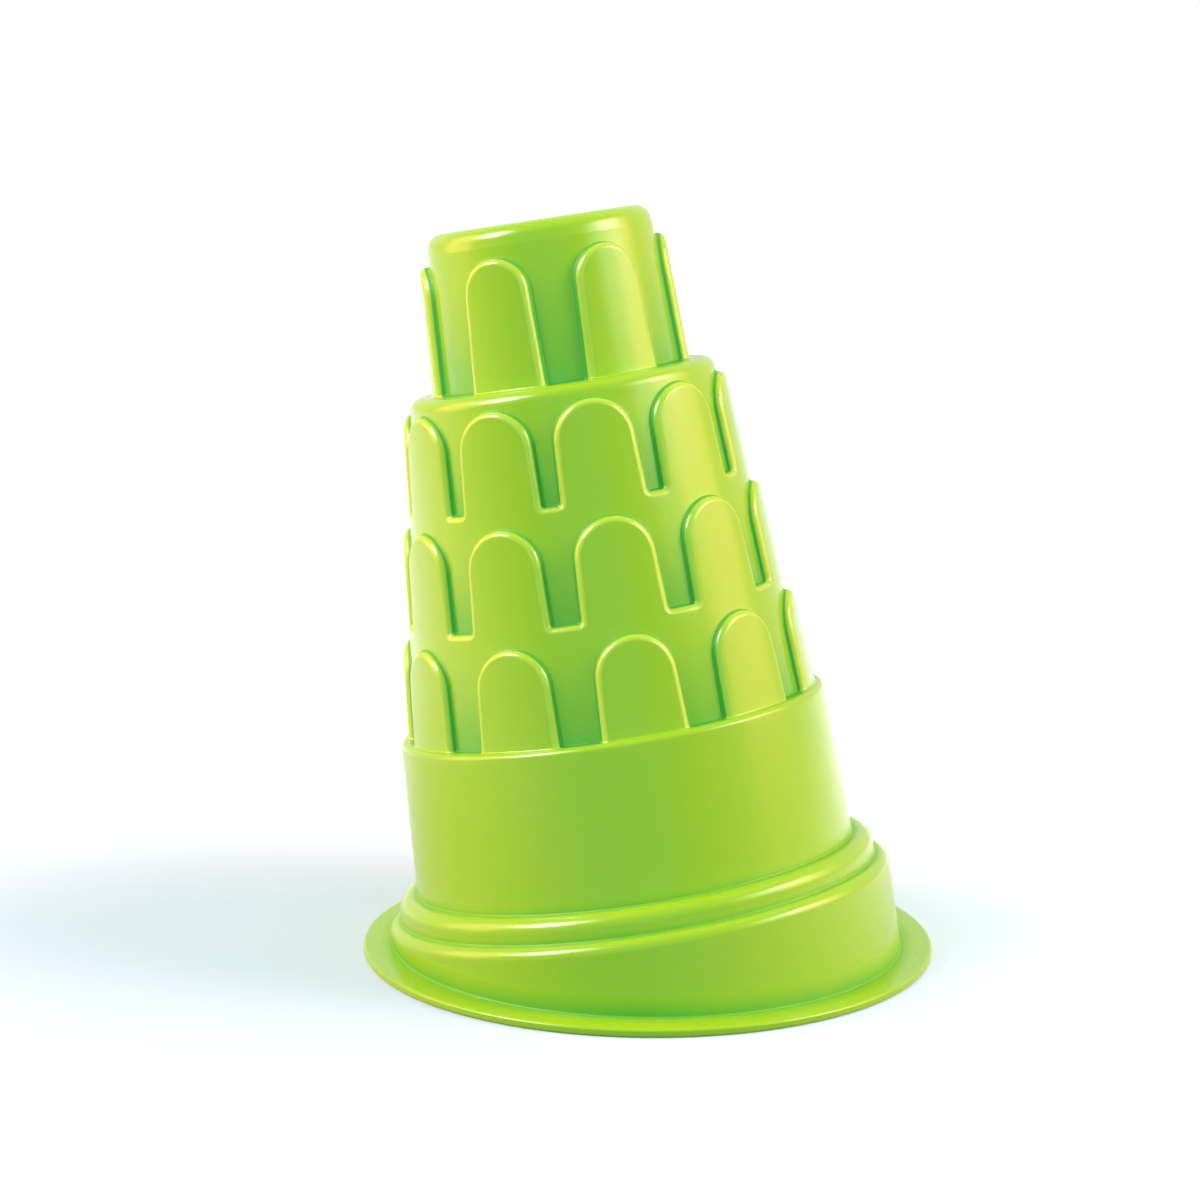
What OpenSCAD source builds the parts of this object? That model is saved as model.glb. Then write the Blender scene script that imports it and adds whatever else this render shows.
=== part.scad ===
// Sand mould in the form of a leaning round tower with arcades.
// It is one thin plastic moulding, open below, and each node is one storey of that shell.
// +Z is up, the flange rests on Z = 0, and the tower leans towards -X.
// Heights named for a storey run along the tower's leaning axis, from the flange's underside.

/* [Shell] */
// Thickness of the moulded wall everywhere above the flange
wall = 1.8; // [1.2:0.1:2.4]
// Lean of the tower from upright, in degrees
lean = 9.8; // [0:0.2:12]

/* [Flange] */
// Width of the flat round flange outside the plinth
flange_w = 7.5; // [5:0.1:20]
// Thickness of the flange
flange_t = 1.9; // [1.2:0.1:2.4]

/* [Plinth] */
// Width of the lower band's ledge, out from the upper band
lower_ledge_w = 3; // [2:0.1:6]
// Height of the lower band's ledge
lower_band_h = 15; // [14.5:0.5:22]
// Radius of the lower band's rounded edge
lower_band_round = 2.5; // [1:0.1:2.8]
// Width of the upper band's ledge, out from the drum
upper_ledge_w = 4.4; // [3:0.1:8]
// Height of the upper band above the lower one
upper_band_h = 5.6; // [5:0.1:10]
// Radius of the upper band's rounded edge
upper_band_round = 3; // [1:0.1:3.2]

/* [Drum] */
// Height of the drum, from the plinth to its ledge
drum_h = 35.7; // [25:0.1:50]
// Draft of the drum's side, in degrees
drum_draft = 3; // [1:0.1:3.5]
// Radius of the rounded edge of the drum's ledge
drum_round = 1.2; // [0.5:0.1:1.5]
// Width of the ledge on which the lowest panels stand
drum_ledge_w = 1.8; // [1.6:0.1:2.4]

/* [Arcades] */
// Height of the wall over an arcade's arches, up to the next storey
arcade_head_h = 3.6; // [3:0.1:10]
// Draft of the arcades' sides, in degrees
arcade_draft = 4.8; // [4:0.1:5.4]
// How far a panel stands out from the wall behind it
relief = 1.95; // [1.9:0.05:2.4]
// Number of panels round an arcade
panel_count = 10; // [8:1:10]
// Width of an arcade panel at its foot
panel_w = 19.4; // [16:0.2:20]
// Height of an arcade panel to the top of its arch
panel_h = 22.1; // [18:0.1:30]
// Narrowing of a panel's side towards its arch, in degrees
panel_taper = 3; // [0:0.1:4]

/* [Bell chamber] */
// Diameter of the bell chamber over its panels, at the shoulder
bell_d = 59.1; // [52:0.1:80]
// Width of the shoulder, out from the bell chamber's panels
shoulder_w = 5.25; // [4:0.05:8]
// Height of the wall over the bell chamber's arches, up to the crown
bell_head_h = 7; // [6:0.1:14]
// Draft of the bell chamber's side, in degrees
bell_draft = 3; // [1:0.1:4]
// How far a bell chamber panel stands out from the wall behind it
bell_relief = 2.2; // [2:0.05:2.5]
// Number of pairs of panels round the bell chamber
bell_pairs = 3; // [2:1:3]
// Turn between the two panels of a pair, in degrees
bell_pair_turn = 55; // [50:1:60]
// Width of a bell chamber panel at its foot
bell_panel_w = 17.6; // [14:0.2:20]
// Height of a bell chamber panel to the top of its arch
bell_panel_h = 29; // [20:0.1:40]
// Radius of the shoulder's rounded edge
shoulder_round = 2.5; // [1:0.1:3]
// Radius of the crown's rounded edge
crown_round = 3; // [1:0.1:3.2]

/* [Hidden] */
$fn = 96;
lime = [0.62, 0.80, 0.20];
deep_lime = [0.50, 0.74, 0.22];

// Overrun of every cut past the face that it opens
over = wall / 4;
// Least radius of a rounded edge inside the shell
least_round = wall / 4;
// Share of the wall's radius at which a panel's prism starts, inside the hollow
near_share = 0.95;
// Turns of the panels from +X: the gap at 180 degrees faces the way the tower leans
arcade_turns = [for (i = [0:panel_count - 1]) 180 + (i + 1 / 2) * 360 / panel_count];
bell_turns = [for (i = [0:bell_pairs - 1], side = [-1, 1])
              180 + i * 360 / bell_pairs + side * bell_pair_turn / 2];

// Ledge heights along the leaning axis, over as many arcades as there are arcade nodes
arcade_count = 3;
storey_h = panel_h + arcade_head_h;
bell_h = bell_panel_h + bell_head_h;
lower_ledge = lower_band_h;
upper_ledge = lower_ledge + upper_band_h;
drum_ledge = upper_ledge + drum_h;
shoulder = drum_ledge + arcade_count * storey_h;
crown_top = shoulder + bell_h;

// Seams lie in plain stretches, where neither face has a panel or a ledge
seam_rise = wall / 2;
seam_drop = (arcade_head_h + wall) / 2;
lower_seam = lower_ledge + seam_rise;
upper_seam = upper_ledge + seam_rise;
crown_seam = shoulder + bell_panel_h + (bell_head_h - wall) / 2;

// Radii of the outer face at a height along the axis, from the bell chamber down and outwards
function bell_r(s) = bell_d / 2 - (s - shoulder) * tan(bell_draft);
function shoulder_r(s) = bell_d / 2 + shoulder_w + (shoulder - s) * tan(arcade_draft);
function arcade_r(k, s) = shoulder_r(s) + (arcade_count - k) * relief;
function drum_r(s) = arcade_r(0, drum_ledge) + drum_ledge_w + (drum_ledge - s) * tan(drum_draft);
function storey_base(k) = drum_ledge + k * storey_h;
function inner_round(r) = max(r - wall, least_round);

// Diameters of the plinth and the flange
upper_band_d = 2 * (drum_r(upper_ledge) + upper_ledge_w);
lower_band_d = upper_band_d + 2 * lower_ledge_w;
flange_d = lower_band_d + 2 * flange_w;

// Turns the upright tower to its lean
module leaning() rotate([0, -lean, 0]) children();

// Solid of revolution from height a to height b, with radii ra and rb
module stage(a, b, ra, rb) translate([0, 0, a]) cylinder(h = b - a, r1 = ra, r2 = rb);

// The same with its top edge rounded by e
module rounded_stage(a, b, ra, rb, e) {
    edge_r = rb + (ra - rb) * e / (b - a);
    translate([0, 0, a]) rotate_extrude() {
        polygon([[0, 0], [ra, 0], [edge_r, b - a - e], [0, b - a - e]]);
        translate([0, b - a - e]) square([edge_r - e, e]);
        intersection() {
            translate([edge_r - e, b - a - e]) circle(r = e);
            square([edge_r, b - a]);
        }
    }
}

// Outline of a round-topped panel that stands on the origin, with its arch upwards
module arch_outline(width, height, inset, drop) {
    side = tan(panel_taper);
    arch_r = (width / 2 - side * height) / (1 - side);
    spring = height - arch_r;
    foot = width / 2 + side * drop - inset;
    polygon([[-foot, -drop], [foot, -drop], [arch_r - inset, spring], [inset - arch_r, spring]]);
    translate([0, spring]) circle(r = arch_r - inset);
}

// Ring of panels that stand at height s, as separate prisms between two distances from the axis
module panel_ring(turns, s, near, reach, width, height, inset, drop)
    for (turn = turns)
        rotate([0, 0, turn]) translate([near, 0, s]) rotate([90, 0, 90])
            linear_extrude(reach - near) arch_outline(width, height, inset, drop);

// Band from height a to height b that is cut back to a wall, all but the panels that the children draw
module cut_back(a, b, ra, rb, reach)
    difference() {
        translate([0, 0, a]) cylinder(h = b - a, r = reach);
        stage(a - over, b + over, ra, rb);
        children();
    }

// Flat flange with the mouth of the mould through it
module rim_flange()
    color(lime) difference() {
        cylinder(h = flange_t, d = flange_d);
        leaning() plinth_cavity();
    }

// Hollow of the plinth's lower band, run out through the flange
module plinth_cavity() {
    mouth = -lower_band_d * tan(lean) - over;
    band_r = lower_band_d / 2 - wall;
    rounded_stage(mouth, lower_ledge - wall, band_r, band_r, inner_round(lower_band_round));
}

// Lower band of the plinth, which the flange's top face cuts level
module lower_plinth()
    color(deep_lime) difference() {
        leaning() difference() {
            union() {
                rounded_stage(0, lower_ledge, lower_band_d / 2, lower_band_d / 2, lower_band_round);
                foot_skirt();
                stage(lower_ledge - over, lower_seam, upper_band_d / 2, upper_band_d / 2);
            }
            plinth_cavity();
            stage(0, lower_seam + over, upper_band_d / 2 - wall, upper_band_d / 2 - wall);
        }
        below_flange();
    }

// Lower band's side run down past the flange on the high side
module foot_skirt() {
    skirt = lower_band_d * tan(lean) + over;
    stage(-skirt, over, lower_band_d / 2, lower_band_d / 2);
}

// Everything under the flange's top face
module below_flange() {
    side = flange_d + lower_band_d;
    translate([-side / 2, -side / 2, flange_t - side]) cube(side);
}

// Upper band of the plinth, up to the drum's foot
module upper_plinth()
    color(lime) leaning() difference() {
        union() {
            rounded_stage(lower_seam, upper_ledge, upper_band_d / 2, upper_band_d / 2, upper_band_round);
            stage(upper_ledge - over, upper_seam, drum_r(upper_ledge - over), drum_r(upper_seam));
        }
        rounded_stage(lower_seam - over, upper_ledge - wall, upper_band_d / 2 - wall,
                      upper_band_d / 2 - wall, inner_round(upper_band_round));
        stage(lower_seam, upper_seam + over, drum_r(lower_seam) - wall, drum_r(upper_seam + over) - wall);
    }

// Plain drum, up to a seam below its ledge
module base_drum() {
    top = drum_ledge - seam_drop;
    color(deep_lime) leaning() difference() {
        stage(upper_seam, top, drum_r(upper_seam), drum_r(top));
        stage(upper_seam - over, top + over, drum_r(upper_seam - over) - wall, drum_r(top + over) - wall);
    }
}

// Solid core of arcade k from height a up, pared by inset: its panels stand out from the wall behind
module arcade_core(k, a, b, inset) {
    base = storey_base(k) - inset;
    near = arcade_r(k + 1, b) * near_share - wall;
    reach = arcade_r(k, a) + wall;
    difference() {
        stage(a, b, arcade_r(k, a) - inset, arcade_r(k, b) - inset);
        cut_back(base, b + over, arcade_r(k + 1, base - over) - inset,
                 arcade_r(k + 1, b + 2 * over) - inset, reach)
            panel_ring(arcade_turns, storey_base(k), near, reach + over, panel_w, panel_h,
                       inset, inset + over);
    }
}

// Shell of arcade k, between the seam below its ledge and the seam above its arches
module arcade_shell(k, seam) {
    top = storey_base(k + 1) - seam_drop;
    difference() {
        union() {
            arcade_core(k, seam, top, 0);
            children();
        }
        arcade_core(k, seam - over, top + over, wall);
    }
}

// Lowest arcade, with the drum's rounded ledge
module lower_arcade() {
    seam = drum_ledge - seam_drop;
    color(lime) leaning() difference() {
        arcade_shell(0, seam)
            rounded_stage(seam, drum_ledge, drum_r(seam), drum_r(drum_ledge), drum_round);
        stage(seam - over, drum_ledge - wall, drum_r(seam - over) - wall, drum_r(drum_ledge - wall) - wall);
    }
}

module middle_arcade() color(deep_lime) leaning() arcade_shell(1, storey_base(1) - seam_drop);

module upper_arcade() color(lime) leaning() arcade_shell(2, storey_base(2) - seam_drop);

// Solid core of the bell chamber from height a up, pared by inset
module bell_core(a, b, inset) {
    base = shoulder - inset;
    step = bell_relief + inset;
    near = (bell_r(b) - bell_relief) * near_share - wall;
    reach = bell_r(a) + wall;
    difference() {
        stage(a, b, bell_r(a) - inset, bell_r(b) - inset);
        cut_back(base, b + over, bell_r(base - over) - step, bell_r(b + 2 * over) - step, reach)
            panel_ring(bell_turns, shoulder, near, reach + over, bell_panel_w, bell_panel_h,
                       inset, inset + over);
    }
}

// Bell chamber with the rounded shoulder that it stands on
module bell_chamber() {
    seam = shoulder - seam_drop;
    color(deep_lime) leaning() difference() {
        union() {
            rounded_stage(seam, shoulder, shoulder_r(seam), shoulder_r(shoulder), shoulder_round);
            bell_core(seam, crown_seam, 0);
        }
        bell_core(seam - over, crown_seam + over, wall);
        rounded_stage(seam - over, shoulder - wall, shoulder_r(seam - over) - wall,
                      shoulder_r(shoulder - wall) - wall, inner_round(shoulder_round));
    }
}

// Flat crown that closes the tower, with its rounded edge
module crown_cap() {
    step = bell_relief;
    color(lime) leaning() difference() {
        rounded_stage(crown_seam, crown_top, bell_r(crown_seam) - step, bell_r(crown_top) - step,
                      crown_round);
        rounded_stage(crown_seam - over, crown_top - wall, bell_r(crown_seam - over) - step - wall,
                      bell_r(crown_top - wall) - step - wall, inner_round(crown_round));
    }
}

rim_flange();
lower_plinth();
upper_plinth();
base_drum();
lower_arcade();
middle_arcade();
upper_arcade();
bell_chamber();
crown_cap();
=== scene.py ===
"""Sand mould in the form of a leaning round tower: the looks of its one lime plastic shell."""

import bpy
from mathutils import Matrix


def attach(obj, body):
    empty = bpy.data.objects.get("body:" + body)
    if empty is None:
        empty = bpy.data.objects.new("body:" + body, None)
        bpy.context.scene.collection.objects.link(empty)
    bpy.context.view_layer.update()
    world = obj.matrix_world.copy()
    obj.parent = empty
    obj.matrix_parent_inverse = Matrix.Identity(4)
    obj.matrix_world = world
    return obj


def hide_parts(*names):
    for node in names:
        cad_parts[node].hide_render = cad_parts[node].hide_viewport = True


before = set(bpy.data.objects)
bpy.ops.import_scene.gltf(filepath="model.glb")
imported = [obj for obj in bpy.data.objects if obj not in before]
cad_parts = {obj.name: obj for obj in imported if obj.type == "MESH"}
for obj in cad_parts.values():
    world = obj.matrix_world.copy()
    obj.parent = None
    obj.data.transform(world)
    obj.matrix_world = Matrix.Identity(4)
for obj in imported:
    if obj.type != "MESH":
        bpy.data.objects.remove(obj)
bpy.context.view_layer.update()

import math

import bmesh
import bpy
from mathutils import Matrix, Quaternion, Vector

MM = 0.001
TAU = 2 * math.pi

# Driving sizes of the shell, in millimetres and degrees
WALL = 1.8
LEAN = 9.8
FLANGE_W = 7.5
FLANGE_T = 1.9
LOWER_LEDGE_W = 3
LOWER_BAND_H = 15
UPPER_LEDGE_W = 4.4
UPPER_BAND_H = 5.6
DRUM_H = 35.7
DRUM_DRAFT = 3
DRUM_LEDGE_W = 1.8
ARCADE_COUNT = 3
ARCADE_HEAD_H = 3.6
ARCADE_DRAFT = 4.8
RELIEF = 1.95
PANEL_COUNT = 10
PANEL_W = 19.4
PANEL_H = 22.1
PANEL_TAPER = 3
BELL_D = 59.1
SHOULDER_W = 5.25
BELL_HEAD_H = 7
BELL_DRAFT = 3
BELL_RELIEF = 2.2
BELL_PAIRS = 3
BELL_PAIR_TURN = 55
BELL_PANEL_W = 17.6
BELL_PANEL_H = 29

# Radii of the edges that the polished mould leaves soft
LIP_ROUND = 0.6
LOWER_BAND_ROUND = 2.5
UPPER_BAND_ROUND = 3
DRUM_ROUND = 1.2
SHOULDER_ROUND = 2.5
CROWN_ROUND = 3.4
PANEL_ROUND = 1.3
CORNER_ROUND = 0.8
CREASE_ROUND = 0.45
FOOT_ROUND = 0.5
INNER_ROUND = 0.5

# How far the painted shade of a fold reaches, beside a ledge and above the flange
FOLD_SHADE_REACH = 1.8
FOOT_SHADE_REACH = 5

# Fineness of the meshes
SPIN_STEPS = 240
ROUND_STEPS = 8
EDGE_STEPS = 5
ARCH_STEPS = 28
COLUMN_W = 0.9
ROW_H = 2.4

# How far a flat sheet runs past its storey before it is trimmed
MARGIN = 4

# How near two places count as one, and from which angle faces count as folded, or an edge as sharp
WELD = 0.002
NEAR = 0.0001
FOLD_ANGLE = 0.3
SHARP_ANGLE = math.radians(42)

# Heights along the leaning axis
STOREY_H = PANEL_H + ARCADE_HEAD_H
LOWER_LEDGE = LOWER_BAND_H
UPPER_LEDGE = LOWER_LEDGE + UPPER_BAND_H
DRUM_LEDGE = UPPER_LEDGE + DRUM_H
SHOULDER = DRUM_LEDGE + ARCADE_COUNT * STOREY_H
CROWN_TOP = SHOULDER + BELL_PANEL_H + BELL_HEAD_H
LOWER_SEAM = LOWER_LEDGE + WALL / 2
UPPER_SEAM = UPPER_LEDGE + WALL / 2
SEAM_DROP = (ARCADE_HEAD_H + WALL) / 2
CROWN_SEAM = SHOULDER + BELL_PANEL_H + (BELL_HEAD_H - WALL) / 2


def slope(degrees):
    return math.tan(math.radians(degrees))


def bell_r(s):
    return BELL_D / 2 - (s - SHOULDER) * slope(BELL_DRAFT)


def bell_wall_r(s):
    return bell_r(s) - BELL_RELIEF


def shoulder_r(s):
    return BELL_D / 2 + SHOULDER_W + (SHOULDER - s) * slope(ARCADE_DRAFT)


def arcade_r(k, s):
    return shoulder_r(s) + (ARCADE_COUNT - k) * RELIEF


def drum_r(s):
    return arcade_r(0, DRUM_LEDGE) + DRUM_LEDGE_W + (DRUM_LEDGE - s) * slope(DRUM_DRAFT)


def storey_base(k):
    return DRUM_LEDGE + k * STOREY_H


UPPER_BAND_R = drum_r(UPPER_LEDGE) + UPPER_LEDGE_W
LOWER_BAND_R = UPPER_BAND_R + LOWER_LEDGE_W
FLANGE_R = LOWER_BAND_R + FLANGE_W


class Wire:
    """A value that runs through a finish, and that can be reckoned with like a number."""

    def __init__(self, finish, socket):
        self.finish = finish
        self.socket = socket

    def reckon(self, operation, first, second):
        return self.finish.node("ShaderNodeMath", {"operation": operation},
                                {"Value": first, "Value_001": second})

    def __add__(self, other):
        return self.reckon("ADD", self, other)

    __radd__ = __add__

    def __mul__(self, other):
        return self.reckon("MULTIPLY", self, other)

    __rmul__ = __mul__

    def __sub__(self, other):
        return self.reckon("SUBTRACT", self, other)

    def __rsub__(self, other):
        return self.reckon("SUBTRACT", other, self)

    def larger(self, other):
        return self.reckon("MAXIMUM", self, other)


def socket_named(sockets, name):
    """A node's socket that goes by this identifier, or else by this name."""
    return next((s for s in sockets if s.identifier == name), None) or sockets[name]


class Finish:
    """The nodes that give a material, or the world, its look."""

    def __init__(self, owner):
        owner.use_nodes = True
        self.tree = owner.node_tree
        self.tree.nodes.clear()

    def node(self, kind, settings, inputs, output=None):
        """Adds a node, its settings first and then its sockets, and gives the named or first output."""
        made = self.tree.nodes.new(kind)
        for name, value in settings.items():
            setattr(made, name, value)
        for name, value in inputs.items():
            socket = socket_named(made.inputs, name)
            if isinstance(value, Wire):
                self.tree.links.new(value.socket, socket)
            else:
                socket.default_value = value
        return Wire(self, socket_named(made.outputs, output) if output else made.outputs[0])

    def step(self, wire, low, high):
        """Rises softly from 0 at low to 1 at high."""
        return self.node("ShaderNodeMapRange", {"interpolation_type": "SMOOTHSTEP"},
                         {"Value": wire, "From Min": low, "From Max": high})

    def blend(self, share, first, second):
        """A colour between two others."""
        return self.node("ShaderNodeMix", {"data_type": "RGBA"},
                         {"Factor_Float": share, "A_Color": first, "B_Color": second}, "Result_Color")

    def noise(self, coords, scale, detail):
        return self.node("ShaderNodeTexNoise", {}, {"Vector": coords, "Scale": scale, "Detail": detail})

    def surface(self, shader, end="ShaderNodeOutputMaterial"):
        """Puts the finished shader on what the nodes belong to."""
        output = self.tree.nodes.new(end)
        self.tree.links.new(shader.socket, output.inputs["Surface"])


# Colours of the plastic: on the open wall, painted shade where it lies deep in slots and folds, and a
# painted highlight on the panels' rims
LIME = (0.37, 0.60, 0.014, 1)
SHADE_LIME = (0.05, 0.40, 0.03, 1)
HIGHLIGHT_LIME = (0.72, 0.78, 0.10, 1)

# How strongly the painted shade of slots and folds, the clouds, and the painted highlight of rims show in
# the colour
SLOT_SHADE = 0.60
FOLD_SHADE = 0.65
CLOUD_TINT = 0.25
RIM_HIGHLIGHT = 0.42

# Patterns of the moulded surface: how many to the metre, and how fine
CLOUD_SCALE = 45
CLOUD_DETAIL = 3
SWIRL_SCALE = 160
SWIRL_DETAIL = 2
GRAIN_SCALE = 1500
GRAIN_DETAIL = 1
PATTERN_MIDDLE = 0.5

# Gloss of the plastic, and how far swirls and folds change it
ROUGHNESS = 0.23
SWIRL_ROUGHNESS = 0.10
FOLD_ROUGHNESS = 0.35
PLASTIC_IOR = 1.43

# Faint unevenness: its depth in metres, its strength, and each pattern's share
BUMP_DEPTH = 0.00006
BUMP_STRENGTH = 0.35
CLOUD_BUMP = 1.4
SWIRL_BUMP = 0.35
GRAIN_BUMP = 0.04


def lime_plastic():
    """Satin lime plastic, with painted shade in slots and folds, a painted highlight on rims, and faint
    clouds and grain.
    """
    material = bpy.data.materials.new("lime_plastic")
    plastic = Finish(material)
    coords = plastic.node("ShaderNodeTexCoord", {}, {}, "Object")
    slot_shade = plastic.node("ShaderNodeAttribute", {"attribute_name": "slot_shade"}, {}, "Fac")
    fold = plastic.node("ShaderNodeAttribute", {"attribute_name": "fold"}, {}, "Fac")
    rim = plastic.node("ShaderNodeAttribute", {"attribute_name": "rim"}, {}, "Fac")
    clouds = plastic.noise(coords, CLOUD_SCALE, CLOUD_DETAIL)
    swirls = plastic.noise(coords, SWIRL_SCALE, SWIRL_DETAIL)
    grain = plastic.noise(coords, GRAIN_SCALE, GRAIN_DETAIL)
    # Painted shade in slots and folds, with the clouds' faint random tone on top
    shade_and_clouds = slot_shade * SLOT_SHADE + fold * FOLD_SHADE + (clouds - PATTERN_MIDDLE) * CLOUD_TINT
    colour = plastic.blend(plastic.step(shade_and_clouds, 0, 1), LIME, SHADE_LIME)
    # Painted highlight along the panels' rims
    colour = plastic.blend(rim * RIM_HIGHLIGHT, colour, HIGHLIGHT_LIME)
    roughness = ROUGHNESS + (swirls - PATTERN_MIDDLE) * SWIRL_ROUGHNESS + fold * FOLD_ROUGHNESS
    height = clouds * CLOUD_BUMP + swirls * SWIRL_BUMP + grain * GRAIN_BUMP
    bumps = plastic.node("ShaderNodeBump", {},
                         {"Strength": BUMP_STRENGTH, "Distance": BUMP_DEPTH, "Height": height})
    plastic.surface(plastic.node("ShaderNodeBsdfPrincipled", {}, {
        "Base Color": colour,
        "Roughness": roughness,
        "IOR": PLASTIC_IOR,
        "Normal": bumps}))
    return material


def arc(centre_r, centre_s, radius, start, end, steps=ROUND_STEPS):
    """Points of a circular arc in a profile, its angles in degrees from straight outwards."""
    points = []
    for i in range(steps + 1):
        a = math.radians(start + (end - start) * i / steps)
        points.append((centre_r + radius * math.cos(a), centre_s + radius * math.sin(a)))
    return points


def spin_profile(points):
    """A closed profile of (radius, height) points spun about the tower's axis."""
    bm = bmesh.new()
    verts = [bm.verts.new((r, 0, s)) for r, s in points]
    edges = [bm.edges.new(pair) for pair in zip(verts, verts[1:] + verts[:1])]
    bmesh.ops.spin(bm, geom=verts + edges, cent=(0, 0, 0), axis=(0, 0, 1), angle=TAU,
                   steps=SPIN_STEPS, use_merge=True)
    return bm


def everything(bm):
    return bm.verts[:] + bm.edges[:] + bm.faces[:]


def cut(bm, place, normal, keep_below=False, keep_above=False):
    """Cuts the whole mesh by a plane, and drops one side if asked."""
    bmesh.ops.bisect_plane(bm, geom=everything(bm), dist=WELD / 2, plane_co=place, plane_no=normal,
                           clear_outer=keep_below, clear_inner=keep_above)


def lean(bm):
    bmesh.ops.transform(bm, matrix=Matrix.Rotation(math.radians(-LEAN), 4, "Y"), verts=bm.verts)


def note_fold_shade(bm):
    """Keeps for the finish how near each point of a spun piece lies to a fold above a ledge, where the
    colour is painted as shade.
    """
    fold = bm.verts.layers.float.new("fold")
    folds_at = ((UPPER_BAND_R, LOWER_LEDGE), (drum_r(UPPER_LEDGE), UPPER_LEDGE))
    for v in bm.verts:
        gap = min(math.hypot(v.co.xy.length - r, v.co.z - s) for r, s in folds_at)
        v[fold] = max(0, 1 - gap / FOLD_SHADE_REACH)


def make_piece(name, bm):
    """Turns a closed mesh in millimetres into the piece that stands for the CAD node of that name."""
    bmesh.ops.remove_doubles(bm, verts=bm.verts, dist=WELD)
    bmesh.ops.delete(bm, geom=[edge for edge in bm.edges if edge.is_wire], context="EDGES")
    bmesh.ops.recalc_face_normals(bm, faces=bm.faces)
    bmesh.ops.scale(bm, vec=(MM, MM, MM), verts=bm.verts)
    for face in bm.faces:
        face.smooth = True
    for edge in bm.edges:
        edge.smooth = edge.calc_face_angle(0) < SHARP_ANGLE
    mesh = bpy.data.meshes.new(name)
    bm.to_mesh(mesh)
    bm.free()
    mesh.materials.append(lime)
    piece = bpy.data.objects.new(name + "_shell", mesh)
    bpy.context.scene.collection.objects.link(piece)
    shading = piece.modifiers.new("even_shading", "WEIGHTED_NORMAL")
    shading.keep_sharp = True
    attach(piece, "root")
    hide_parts(name)


def flange():
    """Flat flange with a soft lip, and the mouth that leans through it."""
    bm = bmesh.new()
    bmesh.ops.create_circle(bm, segments=SPIN_STEPS, radius=FLANGE_R)
    rim = bm.edges[:]
    fade = bmesh.ops.create_circle(bm, segments=SPIN_STEPS, radius=LOWER_BAND_R + FOOT_SHADE_REACH)["verts"]
    fade = list({e for v in fade for e in v.link_edges})
    mouth = bmesh.ops.create_circle(bm, segments=SPIN_STEPS, radius=LOWER_BAND_R - WALL)["verts"]
    bmesh.ops.scale(bm, vec=(1 / math.cos(math.radians(LEAN)), 1, 1), verts=mouth)
    mouth = list({e for v in mouth for e in v.link_edges})
    ring = [face for pair in (rim + fade, fade + mouth)
            for face in bmesh.ops.bridge_loops(bm, edges=pair)["faces"]]
    top = bmesh.ops.extrude_face_region(bm, geom=ring, use_keep_orig=True)["geom"]
    top_verts = [v for v in top if isinstance(v, bmesh.types.BMVert)]
    bmesh.ops.translate(bm, vec=(0, 0, FLANGE_T), verts=top_verts)
    mouth_top = [v for v in top_verts if v.co.xy.length < (FLANGE_R + LOWER_BAND_R) / 2]
    bmesh.ops.translate(bm, vec=(-FLANGE_T * slope(LEAN), 0, 0), verts=mouth_top)
    bmesh.ops.recalc_face_normals(bm, faces=bm.faces)
    lip = [e for e in bm.edges if e.calc_face_angle(0) > SHARP_ANGLE
           and all(v.co.xy.length > FLANGE_R - LIP_ROUND for v in e.verts)]
    soften(bm, lip, LIP_ROUND, EDGE_STEPS)
    # Painted shade on the flange's top round the plinth's foot, fading out over FOOT_SHADE_REACH
    fold = bm.verts.layers.float.new("fold")
    for v in bm.verts:
        v[fold] = 1 if v.co.xy.length < LOWER_BAND_R + WALL and v.co.z > 0 else 0
    make_piece("rim_flange", bm)


def plinth_lower():
    """Lower band, cut level by the flange, with a soft foot that runs out onto it."""
    outer = LOWER_BAND_R
    inner = outer - WALL
    e = LOWER_BAND_ROUND
    skirt = -2 * outer * slope(LEAN)
    bm = spin_profile(
        [(inner, skirt), (outer, skirt)] + arc(outer - e, LOWER_LEDGE - e, e, 0, 90)
        + arc(UPPER_BAND_R + FOOT_ROUND, LOWER_LEDGE + FOOT_ROUND, FOOT_ROUND, -90, -180)
        + [(UPPER_BAND_R, LOWER_SEAM), (UPPER_BAND_R - WALL, LOWER_SEAM)]
        + [(UPPER_BAND_R - WALL, LOWER_LEDGE - WALL)]
        + arc(inner - INNER_ROUND, LOWER_LEDGE - WALL - INNER_ROUND, INNER_ROUND, 90, 0))
    note_fold_shade(bm)
    lean(bm)
    foot = FLANGE_T + FOOT_ROUND
    cut(bm, (0, 0, foot), (0, 0, 1), keep_above=True)
    middle = Vector((-foot * slope(LEAN), 0, foot))
    loop = [edge for edge in bm.edges if edge.is_boundary]
    outside = [edge for edge in loop if (edge.verts[0].co - middle).length > outer - WALL / 2]
    inside = set(loop) - set(outside)
    for step in range(ROUND_STEPS):
        outside = flare(bm, outside, middle, step)
    dropped = bmesh.ops.extrude_edge_only(bm, edges=list(inside))["geom"]
    verts = [v for v in dropped if isinstance(v, bmesh.types.BMVert)]
    bmesh.ops.translate(bm, vec=(FOOT_ROUND * slope(LEAN), 0, -FOOT_ROUND), verts=verts)
    inside = [edge for edge in dropped if isinstance(edge, bmesh.types.BMEdge)]
    bmesh.ops.bridge_loops(bm, edges=outside + inside)
    # Rows for the painted shade at the band's foot, which fades up over FOOT_SHADE_REACH above the flange
    for i in range(1, EDGE_STEPS + 1):
        cut(bm, (0, 0, foot + FOOT_SHADE_REACH * i / EDGE_STEPS), (0, 0, 1))
    fold = bm.verts.layers.float["fold"]
    for v in bm.verts:
        v[fold] = max(v[fold], 1 - max(0, v.co.z - foot) / FOOT_SHADE_REACH)
    make_piece("lower_plinth", bm)


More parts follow.
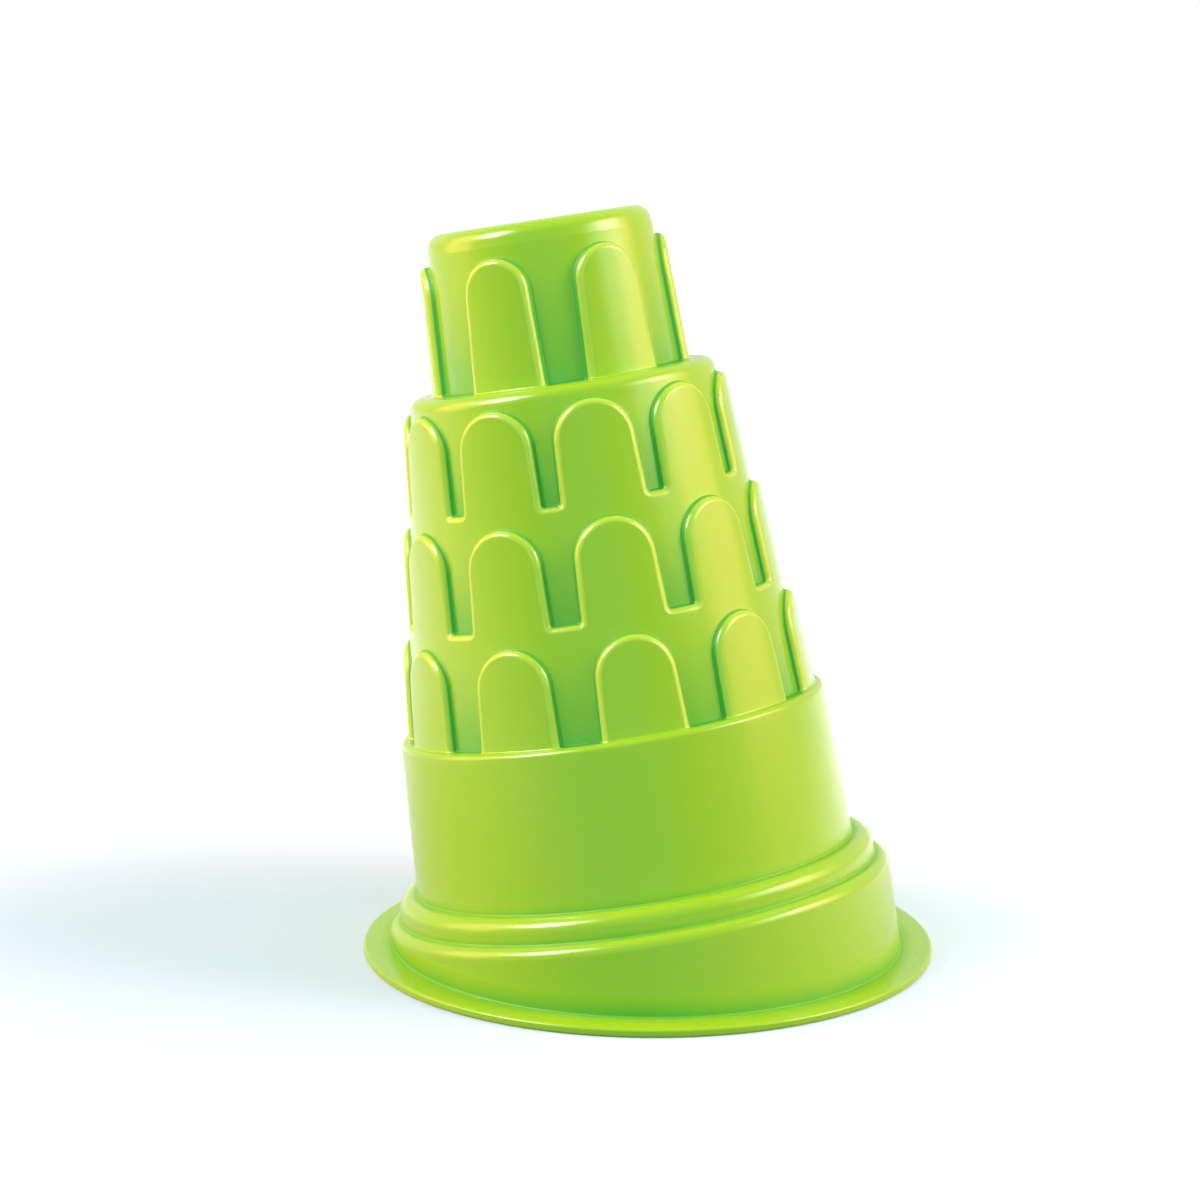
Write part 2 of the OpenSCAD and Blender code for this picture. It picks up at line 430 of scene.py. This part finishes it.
def flare(bm, loop, middle, step):
    """One step of the soft foot: the loop grows outwards as it goes down."""
    a, b = (math.radians(90 * i / ROUND_STEPS) for i in (step, step + 1))
    grow = FOOT_ROUND * (math.cos(a) - math.cos(b))
    fall = FOOT_ROUND * (math.sin(b) - math.sin(a))
    made = bmesh.ops.extrude_edge_only(bm, edges=loop)["geom"]
    for v in (v for v in made if isinstance(v, bmesh.types.BMVert)):
        out = Vector((v.co.x - middle.x, v.co.y, 0)).normalized()
        v.co += out * grow + Vector((fall * slope(LEAN), 0, -fall))
    return [edge for edge in made if isinstance(edge, bmesh.types.BMEdge)]


def plinth_upper():
    """Upper band, a soft bead round the drum's foot."""
    r = UPPER_BAND_R
    e = UPPER_BAND_ROUND
    foot = drum_r(UPPER_SEAM)
    bm = spin_profile(
        [(r - WALL, LOWER_SEAM), (r, LOWER_SEAM), (r, LOWER_LEDGE + FOLD_SHADE_REACH)]
        + arc(r - e, UPPER_LEDGE - e, e, 0, 90)
        + arc(foot + FOOT_ROUND, UPPER_LEDGE + FOOT_ROUND, FOOT_ROUND, -90, -180)
        + [(foot, UPPER_SEAM), (foot - WALL, UPPER_SEAM), (foot - WALL, UPPER_LEDGE - WALL)]
        + arc(r - e, UPPER_LEDGE - e, e - WALL, 90, 0))
    note_fold_shade(bm)
    lean(bm)
    make_piece("upper_plinth", bm)


def drum():
    """Plain drum between its two seams."""
    top = DRUM_LEDGE - SEAM_DROP
    count = round((top - UPPER_SEAM) / ROW_H)
    rows = [UPPER_SEAM + (top - UPPER_SEAM) * i / count for i in range(count + 1)]
    bm = spin_profile([(drum_r(s), s) for s in rows] + [(drum_r(s) - WALL, s) for s in reversed(rows)])
    note_fold_shade(bm)
    lean(bm)
    make_piece("base_drum", bm)


def crown():
    """Flat crown with its rounded edge."""
    r = bell_wall_r(CROWN_TOP)
    e = CROWN_ROUND
    start = bell_wall_r(CROWN_SEAM)
    bm = spin_profile(
        [(start, CROWN_SEAM)] + arc(r - e, CROWN_TOP - e, e, BELL_DRAFT, 90)
        + [(0, CROWN_TOP), (0, CROWN_TOP - WALL)]
        + arc(r - e, CROWN_TOP - e, e - WALL, 90, BELL_DRAFT) + [(start - WALL, CROWN_SEAM)])
    lean(bm)
    make_piece("crown_cap", bm)


class Storey:
    """A ring of raised panels: the walls behind and below them, a ledge, and one panel's size.

    Its turns are where one panel's part of the ring starts and ends, from the panel's middle.
    """

    def __init__(self, base, high, wall_r, foot_r, relief, ledge, ledge_round, width, height, turns):
        self.base = base
        self.low = base - SEAM_DROP
        self.high = high
        self.wall_r = wall_r
        self.foot_r = foot_r
        self.relief = relief
        self.ledge = ledge
        self.ledge_round = ledge_round
        self.width = width
        self.height = height
        self.turns = turns

    def radius(self, s, out, inset):
        """Distance from the axis of a point of the sheet that stands out from the wall by out."""
        base = self.base - inset
        if s >= base:
            return self.wall_r(s) + out - inset
        return self.wall_r(base) + self.foot_r(s) - self.foot_r(base) + out - inset


def arcade_storey(k):
    """Ring of panels number k, which stands on the head of the ring below it, or on the drum."""
    on_drum = k == 0
    half_turn = math.pi / PANEL_COUNT
    return Storey(base=storey_base(k), high=storey_base(k + 1) - SEAM_DROP,
                  wall_r=lambda s: arcade_r(k + 1, s),
                  foot_r=drum_r if on_drum else lambda s: arcade_r(k + 1, s),
                  relief=RELIEF, ledge=DRUM_LEDGE_W if on_drum else 0, ledge_round=DRUM_ROUND,
                  width=PANEL_W, height=PANEL_H, turns=(-half_turn, half_turn))


def bell_storey():
    """One panel of the bell chamber, from the middle of its pair to half way to the next pair."""
    pair_half = math.radians(BELL_PAIR_TURN) / 2
    return Storey(base=SHOULDER, high=CROWN_SEAM, wall_r=bell_wall_r, foot_r=shoulder_r,
                  relief=BELL_RELIEF, ledge=SHOULDER_W, ledge_round=SHOULDER_ROUND,
                  width=BELL_PANEL_W, height=BELL_PANEL_H,
                  turns=(-pair_half, math.pi / BELL_PAIRS - pair_half))


def arch_points(storey, inset):
    """Panel outline from its left foot over the arch to its right foot, as (across, height).

    Where the panel runs into the head of the ring below, its feet are soft.
    """
    side = slope(PANEL_TAPER)
    arch_r = (storey.width / 2 - side * storey.height) / (1 - side)
    spring = storey.base + storey.height - arch_r
    foot = storey.width / 2 + side * inset - inset
    feet = [(foot, storey.base - inset)]
    if storey.ledge == 0:
        round_r = CORNER_ROUND + inset
        lean_in = math.radians(PANEL_TAPER)
        across = foot + round_r * (math.cos(lean_in) - side * (1 - math.sin(lean_in)))
        feet = arc(across, storey.base - inset + round_r, round_r, -90, PANEL_TAPER - 180)
    arch = arc(0, spring, arch_r - inset, 180, 0, ARCH_STEPS)
    return [(-y, s) for y, s in feet] + arch + feet[::-1]


def raised(bm, faces, height):
    """Extrudes faces straight out of the sheet and returns the moved ones."""
    geom = bmesh.ops.extrude_face_region(bm, geom=faces)["geom"]
    verts = [v for v in geom if isinstance(v, bmesh.types.BMVert)]
    bmesh.ops.translate(bm, vec=(height, 0, 0), verts=verts)
    bmesh.ops.delete(bm, geom=[f for f in faces if f.is_valid], context="FACES")
    bm.normal_update()
    return [f for f in geom if isinstance(f, bmesh.types.BMFace)]


def soften(bm, edges, radius, segments):
    bmesh.ops.bevel(bm, geom=edges, offset=radius, segments=segments, affect="EDGES", profile=0.5,
                    material=-1, clamp_overlap=False)
    bm.normal_update()


def folds(bm, convex, out=None):
    """Folded edges of the flat sheet, those that stand out by a given distance if one is asked for."""
    found = []
    for e in bm.edges:
        if len(e.link_faces) != 2 or e.calc_face_angle(0) < FOLD_ANGLE or e.is_convex != convex:
            continue
        if out is None or all(abs(v.co.x - out) < NEAR for v in e.verts):
            found.append(e)
    return found


def flat_sheet(storey, inset):
    """One panel with the wall round it, unrolled: across is Y, height is Z and relief is X."""
    bm = bmesh.new()
    base = storey.base - inset
    top = storey.high + MARGIN
    bottom = storey.low - MARGIN
    edge = max(storey.radius(storey.low, storey.relief, 0) * math.sin(t) for t in storey.turns) + MARGIN
    outline = [bm.verts.new((0, y, s)) for y, s in arch_points(storey, inset)]
    left, right = (bm.verts.new((0, side * edge, base)) for side in (-1, 1))
    high_left, high_right = (bm.verts.new((0, side * edge, top)) for side in (-1, 1))
    low_left, low_right = (bm.verts.new((0, side * edge, bottom)) for side in (-1, 1))
    bm.faces.new([left] + outline + [right, high_right, high_left])
    if storey.ledge > 0:
        panel = bm.faces.new(outline[::-1])
        below = bm.faces.new([low_left, low_right, right, outline[-1], outline[0], left])
        raised_faces = raised(bm, [panel, below], storey.relief)
        raised(bm, [f for f in raised_faces if f.calc_center_median().z < base], storey.ledge)
    else:
        raised(bm, [bm.faces.new([low_left, low_right, right] + outline[::-1] + [left])], storey.relief)
    soften_sheet(bm, storey, outside=(inset == 0))
    return bm


def soften_sheet(bm, storey, outside):
    """Rounds the ledge, the panel's edge and the creases, from the widest down."""
    if storey.ledge > 0:
        ledge = folds(bm, True, storey.relief + storey.ledge)
        soften(bm, ledge, storey.ledge_round if outside else INNER_ROUND, ROUND_STEPS)
    soften(bm, folds(bm, True, storey.relief), PANEL_ROUND if outside else INNER_ROUND, EDGE_STEPS)
    soften(bm, folds(bm, False), CREASE_ROUND, EDGE_STEPS)


def trim_sheet(bm, storey, inset):
    """Trims the sheet to its storey and its part of the ring, and divides it so that it can bend."""
    middle_r = storey.radius((storey.low + storey.high) / 2, 0, inset)
    ends = [middle_r * math.sin(turn) for turn in storey.turns]
    width = ends[1] - ends[0]
    cut(bm, (0, ends[0], 0), (0, 1, 0), keep_above=True)
    cut(bm, (0, ends[1], 0), (0, 1, 0), keep_below=True)
    cut(bm, (0, 0, storey.low), (0, 0, 1), keep_above=True)
    cut(bm, (0, 0, storey.high), (0, 0, 1), keep_below=True)
    columns = round((storey.turns[1] - storey.turns[0]) * storey.radius(storey.low, 0, 0) / COLUMN_W)
    for i in range(1, columns):
        cut(bm, (0, ends[0] + width * i / columns, 0), (0, 1, 0))
    rows = round((storey.high - storey.low) / ROW_H)
    for i in range(1, rows):
        cut(bm, (0, 0, storey.low + (storey.high - storey.low) * i / rows), (0, 0, 1))
    return ends


# Shares of a panel's relief between which a point lies in the fold, painted as shade, or on the rim,
# painted as a highlight
WALL_SHARE = 0.01
FOLD_SHARE = 0.45
PANEL_SHARE = 0.995


def note_depth(bm, storey):
    """Keeps for the finish a point's painted shade in a slot, deepest at the slot's floor and gone by the
    panel's top, and whether it is in a fold, painted as shade, or on a rim, painted as a highlight.
    """
    slot_shade, fold, rim = (bm.verts.layers.float.new(name) for name in ("slot_shade", "fold", "rim"))
    for v in bm.verts:
        share = min(v.co.x / storey.relief, 1)
        up = min(max((v.co.z - storey.base) / storey.height, 0), 1)
        # Painted shade in a slot: strongest on the wall at the storey's base, fading up to the panel's
        # top and out onto the panel's face
        v[slot_shade] = (1 - share) * (1 - up)
        # A point in the fold is painted as shade
        v[fold] = 1 if WALL_SHARE < share < FOLD_SHARE else 0
        # A point on the rim is painted as a highlight
        v[rim] = 1 if FOLD_SHARE < share < PANEL_SHARE else 0


def bend_sheet(bm, storey, inset, ends):
    """Bends the sheet round the axis, the panel's middle towards +X, to meet the next one at its ends."""
    true_half = storey.width / 2 + CREASE_ROUND
    for v in bm.verts:
        r = storey.radius(v.co.z, v.co.x, inset)
        side = v.co.y > 0
        share = max(0, (abs(v.co.y) - true_half) / (abs(ends[side]) - true_half))
        turned = math.asin(v.co.y / r) + share * (storey.turns[side] - math.asin(ends[side] / r))
        v.co = (r * math.cos(turned), r * math.sin(turned), v.co.z)


def repeat(bm, count):
    """Copies what is there round the axis, count of them in all."""
    bmesh.ops.spin(bm, geom=everything(bm), cent=(0, 0, 0), axis=(0, 0, 1),
                   angle=TAU * (count - 1) / count, steps=count - 1, use_duplicate=True)


def ring_of_panels(storey, inset, centre, paired):
    """One skin of a storey, outer or inner: a bent sheet, or a pair of them, copied all round."""
    bm = flat_sheet(storey, inset)
    ends = trim_sheet(bm, storey, inset)
    note_depth(bm, storey)
    bend_sheet(bm, storey, inset, ends)
    if paired:
        turn = Matrix.Rotation(-storey.turns[0], 4, "Z")
        bmesh.ops.transform(bm, matrix=turn, verts=bm.verts)
        bmesh.ops.mirror(bm, geom=everything(bm), matrix=Matrix.Identity(4), merge_dist=WELD, axis="Y")
    bmesh.ops.transform(bm, matrix=Matrix.Rotation(centre, 4, "Z"), verts=bm.verts)
    repeat(bm, BELL_PAIRS if paired else PANEL_COUNT)
    bmesh.ops.remove_doubles(bm, verts=bm.verts, dist=WELD)
    return bm


def panelled_shell(name, storey, centre, paired=False):
    """A storey's outer and inner skins, closed to each other along both seams."""
    bm = ring_of_panels(storey, 0, centre, paired)
    inner = ring_of_panels(storey, WALL, centre, paired)
    lining = bpy.data.meshes.new("lining")
    inner.to_mesh(lining)
    inner.free()
    bm.from_mesh(lining)
    bpy.data.meshes.remove(lining)
    for seam in (storey.low, storey.high):
        loops = [e for e in bm.edges
                 if e.is_boundary and all(abs(v.co.z - seam) < WELD for v in e.verts)]
        bmesh.ops.bridge_loops(bm, edges=loops)
    lean(bm)
    make_piece(name, bm)


# Camera: its place and what it looks at in metres, its roll in degrees and its lens in millimetres
CAMERA_PLACE = Vector((0.3076, -0.6536, 0.2276))
CAMERA_AIM = Vector((-0.0129, 0.0006, 0.0813))
CAMERA_ROLL = 0.228
CAMERA_LENS = 97.2
CAMERA_REACH = 10

# Floor, and where its shade is deepest and ends, in metres; away from SHADE_PLACE its glow is painted
# light that washes the tower's shadow out
FLOOR_R = 3
FLOOR_STEPS = 64
FLOOR_COLOUR = (0.30, 0.32, 0.32, 1)
FLOOR_SEEN = (0.62, 0.68, 0.97, 1)
FLOOR_GLOW = 0.11
SHADE_PLACE = (-0.058, -0.028, 0)
SHADE_NEAR = 0.06
SHADE_FAR = 0.33

# Colours of the lamps and of the even light from all round
FILL_COLOUR = (0.24, 1.0, 0.80, 1)
FILL_STRENGTH = 0.56
WARM_WHITE = (1.0, 0.43, 0.20)
PLAIN_WHITE = (1.0, 1.0, 1.0)
COOL_WHITE = FILL_COLOUR[:3]
WHITE = (1, 1, 1, 1)


def seen_rays(finish):
    """1 for what the camera sees, also in a reflection or through glass, and 0 for light on things."""
    seen = finish.node("ShaderNodeLightPath", {}, {}, "Is Camera Ray")
    for name in ("Is Glossy Ray", "Is Transmission Ray"):
        seen = seen.larger(finish.node("ShaderNodeLightPath", {}, {}, name))
    return seen


def floor():
    """Pale floor, seen as white, whose glow is painted light that rises away from SHADE_PLACE, so the
    tower's soft shadow stays only near it.
    """
    bm = bmesh.new()
    bmesh.ops.create_circle(bm, segments=FLOOR_STEPS, radius=FLOOR_R, cap_ends=True)
    mesh = bpy.data.meshes.new("floor")
    bm.to_mesh(mesh)
    bm.free()
    material = bpy.data.materials.new("pale_floor")
    paint = Finish(material)
    seen = seen_rays(paint)
    place = paint.node("ShaderNodeTexCoord", {}, {}, "Object")
    away = paint.node("ShaderNodeVectorMath", {"operation": "DISTANCE"},
                      {"Vector": place, "Vector_001": SHADE_PLACE}, "Value")
    # Painted light: the glow rises from SHADE_NEAR to SHADE_FAR away from SHADE_PLACE
    painted_glow = FLOOR_GLOW + paint.step(away, SHADE_NEAR, SHADE_FAR) * (1 - FLOOR_GLOW)
    colour = paint.blend(seen, FLOOR_COLOUR, FLOOR_SEEN)
    matt = paint.node("ShaderNodeBsdfDiffuse", {}, {"Color": colour})
    white = paint.node("ShaderNodeEmission", {}, {"Color": WHITE, "Strength": seen * painted_glow})
    paint.surface(paint.node("ShaderNodeAddShader", {}, {"Shader": matt, "Shader_001": white}))
    mesh.materials.append(material)
    ground = bpy.data.objects.new("floor", mesh)
    bpy.context.scene.collection.objects.link(ground)


def softbox(name, azimuth, elevation, distance, width, tall, power, colour, glint_only=False):
    """A soft lamp, its azimuth in degrees from the camera's side of the tower round to the right.

    One that is glint_only shows in the gloss and lights nothing else.
    """
    lamp = bpy.data.lights.new(name, "AREA")
    lamp.shape = "RECTANGLE"
    lamp.size = width
    lamp.size_y = tall
    lamp.energy = power
    lamp.color = colour
    holder = bpy.data.objects.new(name, lamp)
    level = CAMERA_PLACE - CAMERA_AIM
    away = Vector((level.x, level.y, 0)).normalized() * math.cos(math.radians(elevation))
    away.z = math.sin(math.radians(elevation))
    away.rotate(Quaternion((0, 0, 1), math.radians(azimuth)))
    holder.location = CAMERA_AIM + away * distance
    holder.rotation_euler = (-away).to_track_quat("-Z", "Y").to_euler()
    holder.visible_camera = False
    holder.visible_diffuse = not glint_only
    bpy.context.scene.collection.objects.link(holder)


def camera():
    lens = bpy.data.cameras.new("camera")
    lens.lens = CAMERA_LENS
    lens.sensor_fit = "HORIZONTAL"
    lens.clip_end = CAMERA_REACH
    holder = bpy.data.objects.new("camera", lens)
    holder.location = CAMERA_PLACE
    look = (CAMERA_AIM - CAMERA_PLACE).to_track_quat("-Z", "Y")
    holder.rotation_euler = (look @ Quaternion((0, 0, 1), math.radians(CAMERA_ROLL))).to_euler()
    bpy.context.scene.collection.objects.link(holder)
    bpy.context.scene.camera = holder


def surroundings():
    """Dim even light from all round, and white where the camera or a reflection looks past the tower."""
    world = bpy.data.worlds.new("studio")
    bpy.context.scene.world = world
    sky = Finish(world)
    fill = sky.node("ShaderNodeBackground", {}, {"Color": FILL_COLOUR, "Strength": FILL_STRENGTH})
    white = sky.node("ShaderNodeBackground", {}, {"Color": WHITE})
    both = sky.node("ShaderNodeMixShader", {},
                    {"Fac": seen_rays(sky), "Shader": fill, "Shader_001": white})
    sky.surface(both, "ShaderNodeOutputWorld")


lime = lime_plastic()
flange()
plinth_lower()
plinth_upper()
drum()
for k, name in enumerate(("lower_arcade", "middle_arcade", "upper_arcade")):
    panelled_shell(name, arcade_storey(k), math.pi / PANEL_COUNT)
panelled_shell("bell_chamber", bell_storey(), math.pi, paired=True)
crown()

floor()
camera()
surroundings()

# Lamps: azimuth and height in degrees, distance, width and length in metres, watts, and colour
softbox("left_softbox", -93, 23, 1.0, 0.6, 0.8, 11.5, WARM_WHITE)
softbox("right_softbox", 88, 25, 1.0, 0.6, 0.8, 9.6, WARM_WHITE)
softbox("front_softbox", 0, 10, 1.4, 1.2, 1.0, 2.0, COOL_WHITE)
softbox("left_strip", -62, 44, 1.0, 0.32, 0.3, 3.4, PLAIN_WHITE)
softbox("right_strip", 76, 34, 1.0, 0.36, 0.3, 2.8, PLAIN_WHITE)
softbox("left_glint", -67, 43, 1.0, 0.36, 0.5, 13.0, PLAIN_WHITE, glint_only=True)
softbox("right_glint", 73, 29, 1.0, 0.7, 0.5, 5.0, PLAIN_WHITE, glint_only=True)
softbox("top_softbox", 150, 66, 1.1, 0.6, 0.6, 1.0, WARM_WHITE)
bpy.context.scene.view_settings.view_transform = "Standard"
